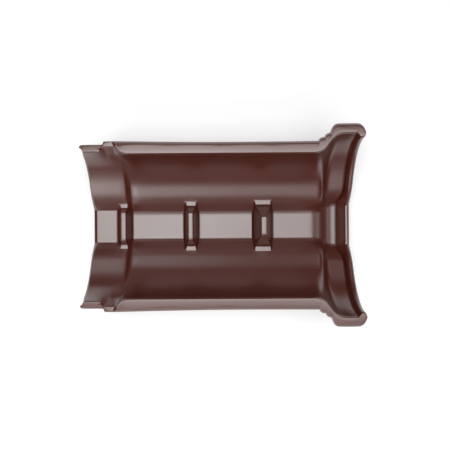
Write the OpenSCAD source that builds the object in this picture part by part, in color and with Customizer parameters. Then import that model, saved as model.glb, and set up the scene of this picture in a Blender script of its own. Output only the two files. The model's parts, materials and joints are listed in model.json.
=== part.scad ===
/* [Sections] */
// Half width between the rims inside the tail, in mm
tail_half = 104.3; // [95:0.5:112]
// Depth from the rims to the inner crown of the tail, in mm
tail_depth = 92; // [84:0.5:100]
// Half width of the flat strip along the crown of the tail, in mm
tail_strip = 25; // [22:0.2:28]
// Half width of the flat strip along the crown of the body, in mm
body_strip = 22.6; // [19:0.2:25]
// Easiest place of the tail flank, as a share of its half width
tail_easy = 0.547; // [0.5:0.005:0.6]
// Easiest place of the body flank, as a share of its half width
body_easy = 0.529; // [0.48:0.005:0.57]
// Steepness of the strip sides, in degrees
side_angle = 50; // [45:1:55]
// Slope at the easiest place of the flank, in degrees
flank_angle = 27; // [24:1:30]
// Slope where the flank turns into the shoulder, in degrees
shoulder_angle = 42; // [39:1:46]
// Rounding beside the strip in the tail, in mm
soft_tail = 1.6; // [1:0.2:4]
// Rounding beside the strip in the body, in mm
soft_body = 12; // [6:0.5:16]

/* [Lengthways] */
// Length along the crown, tail end to lip, in mm
length = 400; // [385:1:420]
// Length of the thin tail up to the outer shoulder, in mm
tail_len = 32; // [28:0.5:34]
// Where the inside steps down from the tail to the body, in mm
step_at = 48.3; // [47:0.1:52]
// Run of that step on the flanks, in mm
step_run = 11; // [6:0.5:12]
// Length of the beads and collar together, in mm
collar_len = 65; // [58:0.5:72]
// Length behind the collar land on strip, flanks and rims, in mm
land_gap = [20.7, 13.6, 13.2]; // [11:0.2:24]
// Width of the end lip, in mm
lip_w = 6.5; // [4:0.5:8]
// How far that step lies behind the first rib on the flanks, in mm
step_lag = 5; // [2:0.2:7]
// Extra hollow at the foot of that step, in mm
step_hollow = 1.5; // [0:0.1:3]
// Length of the bevel inside the tail end on strip, flanks and rims, in mm
lead_len = [4.4, 2.6, 1.6]; // [1:0.2:6]
// Depth of that bevel, in mm
lead_drop = 2.6; // [1:0.2:4]
// Length of the rounding inside the lip, in mm
lip_round = 3.4; // [1.5:0.2:4]

/* [Neck] */
// Upper rounding of the neck on strip, flanks and rims, in mm
neck_round = [46, 10, 23]; // [5:0.5:48]
// Lower rounding of the neck on strip, flanks and rims, in mm
neck_hollow = [24, 3, 23]; // [2:0.5:26]
// Steepness of the neck on strip, flanks and rims, in degrees
neck_angle = [36, 62, 55]; // [32:1:65]
// Start of the neck on strip, flanks and rims, in mm from the first bead
neck_from = [-2, 12.5, -7.5]; // [-10:0.5:16]
// Depth below the rims at which the neck leaves the line of the flanks, in mm
neck_reach = 95; // [80:1:100]

/* [Offsets] */
// Body crown below the tail crown, in mm
body_drop = 9; // [6:0.5:11]
// Body half width more than the tail, in mm
body_rim = -5; // [-7:0.1:-3]
// Collar crown below the body crown, in mm
land_drop = 14; // [9:0.5:15]
// Collar half width more than the body, in mm
land_rim = 27.7; // [25:0.5:32]
// Lip crown below the body crown, in mm
lip_drop = 3.7; // [2.5:0.1:5]
// Lip half width more than the body, in mm
lip_rim = 21.5; // [16:0.2:22]
// Depth of the groove behind the lip, in mm
groove = 4.5; // [2:0.25:6]

/* [Walls] */
// Tail wall at the crown, in mm
tail_wall = 10.5; // [9:0.5:13]
// Tail wall at the rims, in mm
tail_rim_wall = 11.4; // [9:0.2:13]
// Body wall at the crown, in mm
body_wall = 12; // [11:0.5:15]
// Body wall at the rims, in mm
body_rim_wall = 18; // [16:0.2:20]
// Collar wall at the crown, in mm
collar_wall = 12; // [11:0.5:15]
// Collar wall at the rims, in mm
collar_rim_wall = 15.3; // [13:0.2:17]
// Rounding of the collar end, in mm
end_round = 11; // [6:0.5:12]
// Rounding of the tail end, in mm
tail_round = 3; // [1.5:0.25:4]
// How far the outer corners of the tail reach beyond its crown, in mm
tail_tip = 1.6; // [0.4:0.2:3]
// Rounding of the outer shoulder, in mm
shoulder_round = 3.5; // [2:0.25:5]
// How far the outer shoulder stands out at the rims, in mm
shoulder_out = 2.2; // [0:0.2:3]
// How far the body draws in half way along, in mm
waist_in = 1.6; // [0:0.2:4]
// Length of the three beads, in mm
bead_len = [8.7, 8.5, 10]; // [6:0.5:13]
// Height reached by each bead, as a share of the collar
bead_rise = [0.22, 0.46, 1]; // [0.1:0.02:1]

/* [Ribs] */
// Place of the middle rib, as a share of the length
mid_rib = 0.3775; // [0.34:0.0025:0.42]
// Place of the far rib, as a share of the length
far_rib = 0.655; // [0.6:0.0025:0.69]
// Half length of each flat rib top, in mm
rib_half = [21.5, 21, 14.2]; // [10:0.5:24]
// Rise of each rib top above the strip, in mm
rib_rise = [18, 29, 41]; // [14:0.5:45]
// Width of each rib top along the tile, in mm
rib_top = [7, 7, 8.6]; // [5:0.2:12]
// Width of each rib foot before the top, in mm
rib_front = [7.6, 8.2, 11]; // [4:0.2:13]
// Width of each rib foot behind the top, in mm
rib_back = [6.5, 8, 11]; // [5:0.5:13]
// Inner edge of the rib caps, in mm from the middle
cap_from = [28, 31, 32]; // [26:0.5:34]
// Outer edge of the rib caps, in mm from the middle
cap_to = [34.5, 38, 39.5]; // [33:0.5:42]
// Width of the rib caps along the tile, in mm
cap_w = [9.4, 13.6, 23.4]; // [8:0.2:26]

/* [Rims] */
// Width and depth of the bevel inside the rims of body and collar, in mm
rim_in = [2.2, 3.2]; // [1:0.2:5]
// Width and depth of the bevel outside the rims of body and collar, in mm
rim_out = [4, 5.6]; // [2:0.2:7]
// Width and depth of both bevels on the tail rims, in mm
tail_edge = [1.6, 2]; // [1:0.2:3]
// Width of the level line along the inner edge of the body rims, in mm
rim_line = 3; // [1:0.2:4]
// Fall of the rims from that line to the outer bevel, in mm
rim_fall = 0.6; // [0.2:0.1:2]
// How far the tail rims lie below the body rims, in mm
tail_low = 11; // [8:0.5:13]
// How far the notch tops lie below the body rims, in mm
notch_low = 5; // [3:0.5:7]
// Width that the notch slope would cut from the rim, in mm
notch_w = 9; // [7:0.5:12]
// Run of the slope from the notch top to the body rim, in mm
slot_w = 2.6; // [2:0.1:4.5]
// Depth of the lower edge of the notch slope, in mm
notch_d = 20; // [17:0.5:22]

/* [Hidden] */
n_small = 4;
n_arc = 7;
n_flank = 4;
n_shoulder = 6;
bevel = [[0, -1], [0.1, -0.8], [0.84, -0.12], [1, 0]];
foot_gap = 1.4;
n_neck = 10;

// Plain helpers
function mix(a, b, t) = a + (b - a) * t;
function clamp(v) = max(0, min(1, v));
function out_dir(a) = [sin(a), -cos(a)];
function turn(run, r) = run / r * 180 / PI;

// Half section from crown to rim foot, each entry: point, direction of offset
function half_section(half, depth, strip, easy, soft) =
    let (r1 = (easy - strip) / (sin(side_angle) - sin(flank_angle)))
    let (mid = [easy, r1 * (cos(flank_angle) - cos(side_angle)) - depth])
    let (q11 = sin(shoulder_angle) - sin(flank_angle), q12 = 1 - sin(shoulder_angle))
    let (q21 = cos(flank_angle) - cos(shoulder_angle), q22 = cos(shoulder_angle))
    let (det = q11 * q22 - q12 * q21)
    let (r2 = ((half - mid.x) * q22 + q12 * mid.y) / det)
    let (r3 = (-q11 * mid.y - (half - mid.x) * q21) / det)
    let (tip = mid + r2 * (out_dir(shoulder_angle) - out_dir(flank_angle)))
    let (t = soft * tan(side_angle / 2), flat = strip - t)
    let (mitre = [tan(side_angle / 2), -1])
    let (arc_from = side_angle - turn(t, r1), last = acos(9 / r3))
    concat(
        [for (i = [0:2]) let (y = flat * i / 2)
            [[y, -depth], [mitre.x * y / strip, -1]]],
        [for (i = [1:n_small]) let (a = side_angle * i / n_small)
            [[flat, soft - depth] + soft * out_dir(a),
                [mitre.x * mix(flat / strip, 1, i / n_small), -1]]],
        [for (i = [1:n_arc]) let (a = mix(arc_from, flank_angle, i / n_arc))
            [mid + r1 * (out_dir(flank_angle) - out_dir(a)),
                mix(mitre, out_dir(a), clamp(i / 4))]],
        [for (i = [1:n_flank]) let (a = mix(flank_angle, shoulder_angle, i / n_flank))
            [mid + r2 * (out_dir(a) - out_dir(flank_angle)), out_dir(a)]],
        [for (i = [1:n_shoulder]) let (a = mix(shoulder_angle, last, i / n_shoulder))
            [tip + r3 * (out_dir(a) - out_dir(shoulder_angle)), out_dir(a)]]);
body_half = tail_half + body_rim;
body_depth = tail_depth + body_drop;
tail_curve = half_section(tail_half, tail_depth, tail_strip, tail_easy * tail_half, soft_tail);
body_curve = half_section(body_half, body_depth, body_strip, body_easy * body_half, soft_body);
n_strip = 3 + n_small;
n_half = len(tail_curve);
n_row = n_half + len(bevel) + 1;

// Station: three lines of x on strip, flank and rim, share of the body curve, three offsets,
// rib number, rib share, notch share, rim level, edge share
function at(x, t, d, rib = 0, k = 0, notch = 0, low = 0, edge = 1) =
    [x, t, d, rib, k, notch, low, edge];
function all(v) = [v, v, v];
function from_depth(t, v) = v - mix(tail_depth, body_depth, t);
function from_half(t, v) = v - mix(tail_half, body_half, t);

// Point of the section at a station before ribs, notch and rim edges
function strip_share(j) = 1 - clamp((j - n_strip + 1) / 4);
function rim_share(y, half) = pow(clamp((y / half - 0.35) / 0.65), 3);
function plain(s, j) =
    let (x = s[0], t = s[1], d = s[2])
    let (p = mix(tail_curve[j][0], body_curve[j][0], t))
    let (e = mix(tail_curve[j][1], body_curve[j][1], t))
    let (w = strip_share(j), v = rim_share(p.x, mix(tail_half, body_half, t)))
    let (q = p + mix(mix(d[1], d[0], w), d[2], v) * e)
    let (reach = x[0] > length / 2 ? neck_reach : notch_d)
    let (low = s[6] * clamp(1 + p.y / 40))
    [mix(mix(x[1], x[0], w), x[2], clamp(1 + p.y / reach)),
        q.x - low * e.y / max(e.x, 0.5), q.y + low];

// Same point lifted onto the top of a rib
function arc_z(depth, strip, easy, y) =
    let (r = (easy - strip) / (sin(side_angle) - sin(flank_angle)))
    let (a = asin(sin(side_angle) - (y - strip) / r))
    r * (cos(a) - cos(side_angle)) - depth;
rib_base = [tail_depth, body_depth, body_depth];
cap_z = [
    arc_z(tail_depth, tail_strip, tail_easy * tail_half, cap_to[0]),
    arc_z(body_depth, body_strip, body_easy * body_half, cap_to[1]),
    arc_z(body_depth, body_strip, body_easy * body_half, cap_to[2])];
cap_rows = [2, 4, 4];
rib_at = [step_at + 0.2, mid_rib * length, far_rib * length];
function on_rib(s, j) =
    let (p = plain(s, j), r = s[3])
    let (top = rib_rise[r] - rib_base[r], m = cap_rows[r])
    let (wide = (s[0][0] < rib_at[r] ? -1 : 1) * (cap_w[r] - rib_top[r]) / 2)
    let (t = (j - 2) / n_small, i = j - n_strip + 1)
    j <= 2 ? [p.x, rib_half[r] * j / 2, top]
    : j < n_strip ? [p.x + wide * t, mix(rib_half[r], cap_from[r], t), mix(top, cap_z[r], t)]
    : i <= m ? [p.x + wide, mix(cap_from[r], cap_to[r], i / m), cap_z[r]]
    : p;
function ribbed(s, j) = s[4] == 0 ? plain(s, j) : mix(plain(s, j), on_rib(s, j), s[4]);

// One half row of points from crown to rim, side is 1 inside and -1 outside
function side_notch(s, z) = s[5] == 0 ? 0
    : notch_w * s[5] * clamp(1 + z / (notch_d * sqrt(s[5])));
function half_row(s, side, edge) =
    let (e = mix(tail_edge, edge, s[7]), top = side > 0 ? s[6] : s[6] - rim_fall)
    let (yr = mix(tail_half, body_half, s[1]) + s[2][2])
    let (foot = side > 0 ? [] : [[0, -1 - foot_gap / e.y]])
    let (line = side > 0 ? [[1 + rim_line * mix(0.4, 1, s[7]) / e.x, 0]] : [])
    concat(
        [for (j = [0:n_half - 1]) let (p = ribbed(s, j))
            [p.x, p.y + side_notch(s, p.z), p.z]],
        [for (b = concat(foot, bevel, line)) let (z = top + e.y * b.y)
            [s[0][2], yr + side_notch(s, z) + side * e.x * b.x, z]]);
function full_row(s, side, edge) =
    let (h = half_row(s, side, edge))
    concat([for (j = [n_row - 1:-1:1]) [h[j].x, -h[j].y, h[j].z]], h);

// Stations over a rib standing in the body
none = all(0);
function rib_run(n) =
    let (a = rib_at[n] - rib_top[n] / 2, b = rib_at[n] + rib_top[n] / 2)
    let (f = a - rib_front[n], g = b + rib_back[n])
    let (rise = [[f - 4, 0], [f - 1.2, 0], [f + 0.8, 0.06], [a - 0.4, 0.97], [a + 0.6, 1]])
    let (fall = [[b - 0.6, 1], [b + 0.4, 0.97], [g - 1.6, 0.12], [g + 0.6, 0.02],
        [g + 2.5, 0], [g + 6, 0]])
    [for (e = concat(rise, fall)) at(all(e[0]), 1, none, n, e[1])];

// Stations over the first rib, the notch and the step from tail to body
a0 = rib_at[0] - rib_top[0] / 2;
b0 = rib_at[0] + rib_top[0] / 2;
f0 = a0 - rib_front[0];
g0 = b0 + rib_back[0];
flank_step = step_at + step_lag;
block_at = tail_len + 0.8;
slot_at = step_at + 0.8;
block_foot = [tail_len + 7, slot_at - 2];
function sunk(share) = step_hollow * share * [0, 1, 0.6];
first_run = [
    at([f0 - 4, tail_len - 1, tail_len - 6], 0, none, 0, 0, 0, -tail_low, 0),
    at([f0 - 1.2, tail_len + 4.5, tail_len - 2.8], 0, none, 0, 0, 0, -tail_low, 0),
    at([f0 + 0.8, block_foot[0], block_at], 0, none, 0, 0.06, 1, -notch_low, 0),
    at([a0 - 0.4, mix(block_foot[0], block_foot[1], 0.33), block_at + 2],
        0, none, 0, 0.97, 1, -notch_low, 0),
    at([a0 + 0.6, mix(block_foot[0], block_foot[1], 0.67), slot_at - 2],
        0, none, 0, 1, 1, -notch_low, 0),
    at([b0 - 0.6, block_foot[1], slot_at], 0, none, 0, 1, 1, -notch_low, 0),
    at([b0 + 0.4, flank_step, slot_at + slot_w], 0.1, none, 0, 0.97, 0.85, 0, 0.6),
    at([mix(b0, g0, 0.5), flank_step + step_run * 0.35, step_at + 6], 0.6, sunk(0.9), 0, 0.5, 0.57),
    at([mix(b0, g0, 0.9), flank_step + step_run * 0.65, step_at + 9], 0.92, sunk(1), 0, 0.12, 0.28),
    at([g0 + 1, flank_step + step_run, step_at + 13.5], 1, sunk(0.7), 0, 0.02, 0.08),
    at([g0 + 3.5, flank_step + step_run + 4, step_at + 18], 1, sunk(0.3)),
    at([g0 + 8, flank_step + step_run + 10, step_at + 22], 1, none)];

// Neck: an arc, a straight and a counter arc on each of the three lines
function neck_line(from, drop, ra, rb, angle) =
    let (c = 1 - cos(angle), fit = min(1, 0.95 * drop / ((ra + rb) * c)))
    let (r1 = ra * fit, r2 = rb * fit)
    let (run = (drop - (r1 + r2) * c) / tan(angle))
    [for (i = [0:n_neck])
        let (a = i <= 5 ? angle * i / 5 : angle * (n_neck - i) / (n_neck - 6))
        i <= 5 ? [from + r1 * sin(a), r1 * (1 - cos(a)) / drop]
        : [from + (r1 + r2) * sin(angle) + run - r2 * sin(a), 1 - r2 * (1 - cos(a)) / drop]];
collar_at = length - collar_len;
neck_drop = [land_drop, mix(land_drop, land_rim, 0.3), land_rim];
neck_x = [for (k = [0:2])
    neck_line(collar_at + neck_from[k], neck_drop[k], neck_round[k], neck_hollow[k], neck_angle[k])];
land_depth = body_depth + land_drop;
land_half = body_half + land_rim;
lip_depth = body_depth + lip_drop;
lip_half = body_half + lip_rim;
function hollow(x, t, depth, half) =
    at(x, t, [from_depth(t, depth), from_depth(t, depth), from_half(t, half)]);
function neck(i) =
    let (t = mix(1, 0.5, neck_x[1][i][1]))
    at([for (k = [0:2]) neck_x[k][i][0]], t,
        [from_depth(t, mix(body_depth, land_depth, neck_x[0][i][1])),
         from_depth(t, mix(body_depth, land_depth, neck_x[1][i][1])),
         from_half(t, mix(body_half, land_half, neck_x[2][i][1]))]);
tail_from = [0, 0, 3];
land_end = all(length) - land_gap;
lip_at = length - lip_w;
inside = concat(
    [for (e = [[0, 1], [0.12, 0.84], [0.86, 0.1], [1, 0], [1.5, 0]])
        at(tail_from + lead_len * e[0], 0, all(lead_drop * e[1]), 0, 0, 0, -tail_low, 0)],
    first_run,
    rib_run(1),
    rib_run(2),
    [at(all(collar_at) + neck_from - all(4), 1, none)],
    [for (i = [0:n_neck]) neck(i)],
    [hollow(land_end - all(4), 0.5, land_depth, land_half),
     hollow(land_end - all(0.7), 0.5, land_depth, land_half),
     hollow(land_end, 0.5, land_depth + 0.4, land_half),
     hollow(land_end + all(0.8), 0.48, land_depth + groove * 0.6, land_half - 0.2),
     hollow(land_end + all(1.4), 0.45, land_depth + groove, land_half - 0.5),
     hollow(land_end + all(2.2), 0.42, land_depth + groove * 0.9, land_half - 1),
     hollow(all(lip_at - 1.5), 0.05, mix(lip_depth, land_depth, 0.16), mix(lip_half, land_half, 0.12)),
     hollow(all(lip_at), 0, lip_depth + 0.2, lip_half + 0.2),
     hollow(all(lip_at + 1.2), 0, lip_depth, lip_half),
     hollow(all(length - lip_round), 0, lip_depth, lip_half),
     hollow(all(length - lip_round * 0.5), 0, lip_depth + lip_round * 0.3, lip_half + lip_round * 0.3),
     hollow(all(length), 0, lip_depth + lip_round, lip_half + lip_round)]);

// Stations along the outside
tail_out = tail_depth + tail_wall;
tail_out_half = tail_half + tail_rim_wall;
body_out = body_depth + body_wall;
body_out_half = body_half + body_rim_wall;
shoulder_half = body_out_half + shoulder_out;
collar_out = land_depth + collar_wall;
collar_out_half = land_half + collar_rim_wall;
function shell(x, t, depth, half, low = 0, edge = 1, tip = 0) =
    at([x, x, x - tip], t, [from_depth(t, depth), from_depth(t, depth), from_half(t, half)],
        0, 0, 0, low, edge);
bead_at = collar_at + bead_len[0];
bead_from = [collar_at, bead_at, bead_at + bead_len[1]];
function bead(n) =
    let (lo = n == 0 ? 0 : bead_rise[n - 1], hi = bead_rise[n])
    let (run = n == 2 ? bead_len[2] : bead_len[n] - 1.5)
    [for (i = [0:5]) let (t = 90 * i / 5)
        let (v = mix(lo, hi, sin(t)))
        shell(bead_from[n] + run * (1 - cos(t)), 0.8, mix(body_out, collar_out, v),
            mix(body_out_half + 0.6, collar_out_half, v))];
function waist(x) = -waist_in * sin(180 * clamp((x - tail_len) / (collar_at - tail_len)));
notch_top = rim_fall - notch_low;
outside = concat(
    [for (i = [0:3]) let (a = 30 * i)
        let (e = tail_round * (1 - sin(a)), x = tail_round * (1 - cos(a)))
        shell(x, 0, tail_out - e, tail_out_half - e, -tail_low, 0, tail_tip)],
    [shell(tail_len - 1.5, 0, tail_out, tail_out_half, -tail_low, 0)],
    [for (i = [0:3]) let (a = 30 * i)
        shell(tail_len + shoulder_round * (1 - cos(a)), 0.8 * sin(a),
            mix(tail_out + 1.5, body_out, sin(a)), mix(tail_out_half + 1, shoulder_half, sin(a)),
            mix(-tail_low, notch_top, sin(a)), 0)],
    [shell(slot_at, 0.8, body_out, shoulder_half, notch_top, 0),
     shell(slot_at + slot_w, 0.8, body_out, shoulder_half)],
    [for (i = [1:4]) let (x = mix(slot_at + slot_w, collar_at - 1, i / 4))
        shell(x, 0.8, body_out, mix(shoulder_half + 0.3, body_out_half + 0.7, i / 4) + waist(x))],
    bead(0),
    bead(1),
    bead(2),
    [for (i = [0:6]) let (a = 15 * i)
        let (x = length - end_round * (1 - sin(a)), e = end_round * (1 - cos(a)))
        shell(x, 0.5, collar_out - e * 0.9, collar_out_half - e)]);

// Rows of points, then laid down as the tile rests, hollow up
rows_in = [for (s = inside) full_row(s, 1, rim_in)];
rows_out = [for (s = outside) full_row(s, -1, rim_out)];
n_full = 2 * n_row - 1;
n_in = len(rows_in);
n_out = len(rows_out);
loose = concat([for (r = rows_in) each r], [for (r = rows_out) each r]);
keel = [for (r = rows_out) r[n_row - 1]];
half_x = length / 2;
low_pair = [for (a = keel) if (a.x < half_x) for (b = keel) if (b.x > half_x)
    [a.z + (b.z - a.z) * (half_x - a.x) / (b.x - a.x), atan((b.z - a.z) / (b.x - a.x))]];
low_line = min([for (p = low_pair) p[0]]);
rest_tilt = [for (p = low_pair) if (p[0] == low_line) p[1]][0];
ct = cos(rest_tilt);
st = sin(rest_tilt);
turned = [for (p = loose) [p.x * ct + p.z * st, p.y, p.z * ct - p.x * st]];
mid_x = (min([for (p = turned) p.x]) + max([for (p = turned) p.x])) / 2;
low_z = min([for (p = turned) p.z]);
points = [for (p = turned) [p.x - mid_x, p.y, p.z - low_z]];

// Faces: two skins, two ends and the two long rims
function skin(n, base, flip) = [for (i = [0:n - 2]) for (j = [0:n_full - 2])
    let (a = base + i * n_full + j)
    each (flip
        ? [[a, a + 1, a + n_full + 1], [a, a + n_full + 1, a + n_full]]
        : [[a, a + n_full + 1, a + 1], [a, a + n_full, a + n_full + 1]])];
from_out = n_in * n_full;
function end_cap(a0, b0, flip) = [for (j = [0:n_full - 2])
    let (a = a0 + j, b = b0 + j)
    each (flip
        ? [[a, b, b + 1], [a, b + 1, a + 1]]
        : [[a, b + 1, b], [a, a + 1, b + 1]])];
function rim_zip(j, flip, i = 0, k = 0) =
    i >= n_in - 1 && k >= n_out - 1 ? []
    : let (inner = k >= n_out - 1 || (i < n_in - 1
            && rows_in[i + 1][j].x <= rows_out[k + 1][j].x))
      let (a = i * n_full + j, b = from_out + k * n_full + j)
      let (f = inner ? [a, a + n_full, b] : [a, b + n_full, b])
      concat([flip ? [f[0], f[2], f[1]] : f],
          inner ? rim_zip(j, flip, i + 1, k) : rim_zip(j, flip, i, k + 1));
faces = concat(
    skin(n_in, 0, true),
    skin(n_out, from_out, false),
    end_cap(0, from_out, true),
    end_cap((n_in - 1) * n_full, from_out + (n_out - 1) * n_full, false),
    rim_zip(0, false),
    rim_zip(n_full - 1, true));

// The fired clay tile, one solid
module ridge_tile() {
    color([0.33, 0.20, 0.17]) polyhedron(points = points, faces = faces, convexity = 8);
}

ridge_tile();
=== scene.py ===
import json
import math

import bpy
from mathutils import Matrix, Vector

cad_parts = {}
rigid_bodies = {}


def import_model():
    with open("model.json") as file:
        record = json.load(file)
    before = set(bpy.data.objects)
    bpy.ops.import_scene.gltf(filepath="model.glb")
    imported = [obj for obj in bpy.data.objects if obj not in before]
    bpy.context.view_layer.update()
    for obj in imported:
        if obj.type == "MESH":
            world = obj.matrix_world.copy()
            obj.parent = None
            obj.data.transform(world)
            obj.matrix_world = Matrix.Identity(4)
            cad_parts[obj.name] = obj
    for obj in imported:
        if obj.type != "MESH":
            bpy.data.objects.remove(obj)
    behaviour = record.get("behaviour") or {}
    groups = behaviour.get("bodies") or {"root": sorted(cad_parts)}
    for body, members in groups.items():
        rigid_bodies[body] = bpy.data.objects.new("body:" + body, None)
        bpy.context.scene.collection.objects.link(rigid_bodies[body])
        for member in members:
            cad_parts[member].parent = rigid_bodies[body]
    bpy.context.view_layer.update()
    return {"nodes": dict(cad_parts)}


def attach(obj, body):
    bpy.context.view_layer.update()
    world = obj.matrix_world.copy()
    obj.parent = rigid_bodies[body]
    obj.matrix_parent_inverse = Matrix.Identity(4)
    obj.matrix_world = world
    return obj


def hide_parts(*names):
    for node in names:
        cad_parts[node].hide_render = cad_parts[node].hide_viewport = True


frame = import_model()
print("frame loaded:", sorted(frame["nodes"]))


def pickOnly(obj):
    bpy.ops.object.select_all(action="DESELECT")
    obj.select_set(True)
    bpy.context.view_layer.objects.active = obj


# Tile: a welded, smoothed copy of the solid with slightly rounded edges

tileLook = {
    "name": "firedTile",
    "weld": 0.00001,  # m
    "quadAngle": 60,  # degrees, triangles that flat become one face
    "sharpAngle": 30,  # degrees, edges sharper than this are rounded less
    "crease": 0.38,  # above about 0.45 two rounds leave an edge fully sharp
    "rounds": 2,
}


def buildTile(look):
    pickOnly(frame["nodes"]["ridge_tile"])
    bpy.ops.object.duplicate()
    tile = bpy.context.view_layer.objects.active
    tile.name = tile.data.name = look["name"]
    bpy.ops.object.parent_clear(type="CLEAR_KEEP_TRANSFORM")
    bpy.ops.mesh.customdata_custom_splitnormals_clear()
    bpy.ops.object.mode_set(mode="EDIT")
    bpy.ops.mesh.select_all(action="SELECT")
    bpy.ops.mesh.remove_doubles(threshold=look["weld"])
    limit = math.radians(look["quadAngle"])
    bpy.ops.mesh.tris_convert_to_quads(face_threshold=limit, shape_threshold=limit)
    bpy.ops.mesh.select_mode(type="EDGE")
    bpy.ops.mesh.select_all(action="DESELECT")
    bpy.ops.mesh.edges_select_sharp(sharpness=math.radians(look["sharpAngle"]))
    bpy.ops.transform.edge_crease(value=look["crease"])
    bpy.ops.object.mode_set(mode="OBJECT")
    rounding = tile.modifiers.new("pressedEdges", "SUBSURF")
    rounding.levels = rounding.render_levels = look["rounds"]
    bpy.ops.object.modifier_apply(modifier=rounding.name)
    bpy.ops.object.shade_smooth()
    return tile


tile = buildTile(tileLook)
tile.data.materials.clear()
print("tile built:", len(tile.data.polygons), "faces")


# Engobe: thin dark brown slip over fired clay, semi-gloss

engobeLook = {
    "dark": (0.0697, 0.0116, 0.0056),
    "light": (0.0835, 0.0140, 0.0068),
    "cloudSize": 9,  # per metre
    "cloudDetail": 5,
    "grainSize": 420,  # per metre
    "grainDetail": 3,
    "roughFrom": 0.25,
    "roughTo": 0.33,
    "specular": 1.0,
    "ior": 1.576,
    "grainDepth": 0.05,
    "grainReach": 0.0004,  # m
}


def buildEngobe(look):
    mat = bpy.data.materials.new("engobedClay")
    mat.use_nodes = True
    nodes, links = mat.node_tree.nodes, mat.node_tree.links
    shader = nodes["Principled BSDF"]
    shader.inputs["Specular IOR Level"].default_value = look["specular"]
    shader.inputs["IOR"].default_value = look["ior"]
    coords = nodes.new("ShaderNodeTexCoord")

    clouds = nodes.new("ShaderNodeTexNoise")  # broad mottling from the kiln
    clouds.inputs["Scale"].default_value = look["cloudSize"]
    clouds.inputs["Detail"].default_value = look["cloudDetail"]
    links.new(coords.outputs["Object"], clouds.inputs["Vector"])
    tint = nodes.new("ShaderNodeMix")
    tint.data_type = "RGBA"
    tint.inputs["A"].default_value = (*look["dark"], 1)
    tint.inputs["B"].default_value = (*look["light"], 1)
    links.new(clouds.outputs["Fac"], tint.inputs["Factor"])
    links.new(tint.outputs["Result"], shader.inputs["Base Color"])

    gloss = nodes.new("ShaderNodeMapRange")
    gloss.inputs["To Min"].default_value = look["roughFrom"]
    gloss.inputs["To Max"].default_value = look["roughTo"]
    links.new(clouds.outputs["Fac"], gloss.inputs["Value"])
    links.new(gloss.outputs["Result"], shader.inputs["Roughness"])

    grain = nodes.new("ShaderNodeTexNoise")  # fine sand under the slip
    grain.inputs["Scale"].default_value = look["grainSize"]
    grain.inputs["Detail"].default_value = look["grainDetail"]
    links.new(coords.outputs["Object"], grain.inputs["Vector"])
    bump = nodes.new("ShaderNodeBump")
    bump.inputs["Strength"].default_value = look["grainDepth"]
    bump.inputs["Distance"].default_value = look["grainReach"]
    links.new(grain.outputs["Fac"], bump.inputs["Height"])
    links.new(bump.outputs["Normal"], shader.inputs["Normal"])
    return mat


tile.data.materials.append(buildEngobe(engobeLook))
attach(tile, "root")
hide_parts("ridge_tile")
print("engobe on the tile")


# Floor: pale and plain, lifted to white where it is seen

floorLook = {
    "size": 8,  # m
    "colour": (0.80, 0.80, 0.80),
    "lift": 0.31,  # added where a camera or a mirror sees it
}


def buildFloor(look):
    bpy.ops.object.select_all(action="DESELECT")
    bpy.ops.mesh.primitive_plane_add(size=look["size"])
    floor = bpy.context.view_layer.objects.active
    floor.name = "floor"
    mat = bpy.data.materials.new("paleFloor")
    mat.use_nodes = True
    nodes, links = mat.node_tree.nodes, mat.node_tree.links
    shader = nodes["Principled BSDF"]
    shader.inputs["Base Color"].default_value = (*look["colour"], 1)
    shader.inputs["Roughness"].default_value = 1
    shader.inputs["Specular IOR Level"].default_value = 0
    shader.inputs["Emission Color"].default_value = (1, 1, 1, 1)
    path = nodes.new("ShaderNodeLightPath")
    seen = path.outputs["Is Camera Ray"]
    for ray in ("Is Glossy Ray", "Is Transmission Ray"):
        either = nodes.new("ShaderNodeMath")
        either.operation = "MAXIMUM"
        links.new(seen, either.inputs[0])
        links.new(path.outputs[ray], either.inputs[1])
        seen = either.outputs[0]
    lift = nodes.new("ShaderNodeMath")
    lift.operation = "MULTIPLY"
    lift.inputs[1].default_value = look["lift"]
    links.new(seen, lift.inputs[0])
    links.new(lift.outputs[0], shader.inputs["Emission Strength"])
    floor.data.materials.append(mat)


buildFloor(floorLook)
print("floor laid")


# Light: level panels overhead, softer ones all round, weaker toward the collar

overheadLook = {
    "overNear": {"at": (0, -0.32, 1.30), "size": (1.5, 0.28), "watts": 3.35},
    "overTail": {"at": (-0.375, 0.14, 1.30), "size": (0.75, 0.64), "watts": 7.0},
    "overCollar": {"at": (0.375, 0.14, 1.30), "size": (0.75, 0.64), "watts": 5.40},
}
sideLook = {
    "nearHigh": {"at": (0, -0.85, 1.25), "size": (1.8, 0.30), "watts": 3.53},
    "nearLow": {"at": (0, -1.40, 0.45), "size": (2.0, 0.40), "watts": 1.0},
    "nearTailEnd": {"at": (-0.95, -1.25, 0.95), "size": (0.6, 0.45), "watts": 3.98},
    "nearTail": {"at": (-0.35, -1.25, 0.95), "size": (0.6, 0.45), "watts": 1.76},
    "nearCollar": {"at": (0.25, -1.25, 0.95), "size": (0.6, 0.45), "watts": 1.19},
    "nearCollarEnd": {"at": (0.85, -1.25, 0.95), "size": (0.6, 0.45), "watts": 0.43},
    "farTailEnd": {"at": (-0.95, 1.25, 0.95), "size": (0.6, 0.40), "watts": 1.35},
    "farTail": {"at": (-0.35, 1.25, 0.95), "size": (0.6, 0.40), "watts": 0.99},
    "farCollar": {"at": (0.25, 1.25, 0.95), "size": (0.6, 0.40), "watts": 0.32},
    "farCollarEnd": {"at": (0.85, 1.25, 0.95), "size": (0.6, 0.40), "watts": 0.75},
    "collarLow": {"at": (1.20, 0, 0.95), "size": (0.45, 0.45), "watts": 0.91},
}
aimPoint = (0, 0, 0.06)  # middle of the tile
skyStrength = 0.02


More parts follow.
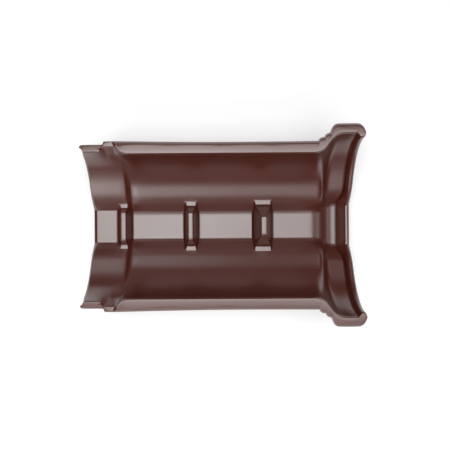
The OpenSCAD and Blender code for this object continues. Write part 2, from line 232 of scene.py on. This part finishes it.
def buildLight(name, look, aimed):
    data = bpy.data.lights.new(name, "AREA")
    data.shape = "RECTANGLE"
    data.size, data.size_y = look["size"]
    data.energy = look["watts"]
    lamp = bpy.data.objects.new(name, data)
    bpy.context.collection.objects.link(lamp)
    lamp.location = look["at"]
    if aimed:
        aim = Vector(aimPoint) - Vector(look["at"])
        lamp.rotation_euler = aim.to_track_quat("-Z", "Y").to_euler()


for name, look in overheadLook.items():
    buildLight(name, look, aimed=False)
for name, look in sideLook.items():
    buildLight(name, look, aimed=True)
sky = bpy.data.worlds.new("sky")
bpy.context.scene.world = sky
sky.use_nodes = True
skyShader = sky.node_tree.nodes["Background"]
skyShader.inputs["Color"].default_value = (1, 1, 1, 1)
skyShader.inputs["Strength"].default_value = skyStrength
bpy.context.scene.view_settings.view_transform = "Standard"
print("lights up")


# Camera: square above the rims, as in the photograph

cameraLook = {
    "tilt": -2.45378,  # degrees, the tile's lie on its back
    "midX": 0.201772,  # m, from the tail end to the middle of the box
    "lowZ": -0.111377,  # m, lowest point below the rims
    "at": (0.2034, 0.0012, 0.7525),  # m, from the tail end, middle and rims
    "roll": -0.4,  # degrees
    "fieldOfView": 45,  # degrees
    "sensor": 36,  # mm
}


def buildCamera(look):
    turn = math.radians(look["tilt"])
    along = Vector((math.cos(turn), 0, -math.sin(turn)))
    up = Vector((math.sin(turn), 0, math.cos(turn)))
    x, y, z = look["at"]
    place = along * x + Vector((0, y, 0)) + up * z
    place -= Vector((look["midX"], 0, look["lowZ"]))
    roll = math.radians(look["roll"])
    right = along * math.cos(roll) + up.cross(along) * math.sin(roll)
    top = up.cross(right)
    data = bpy.data.cameras.new("camera")
    data.sensor_width = look["sensor"]
    half = math.radians(look["fieldOfView"] / 2)
    data.lens = look["sensor"] / 2 / math.tan(half)
    camera = bpy.data.objects.new("camera", data)
    bpy.context.collection.objects.link(camera)
    turnBy = Matrix((right, top, up)).transposed()
    camera.matrix_world = Matrix.Translation(place) @ turnBy.to_4x4()
    bpy.context.scene.camera = camera


buildCamera(cameraLook)
print("camera set")
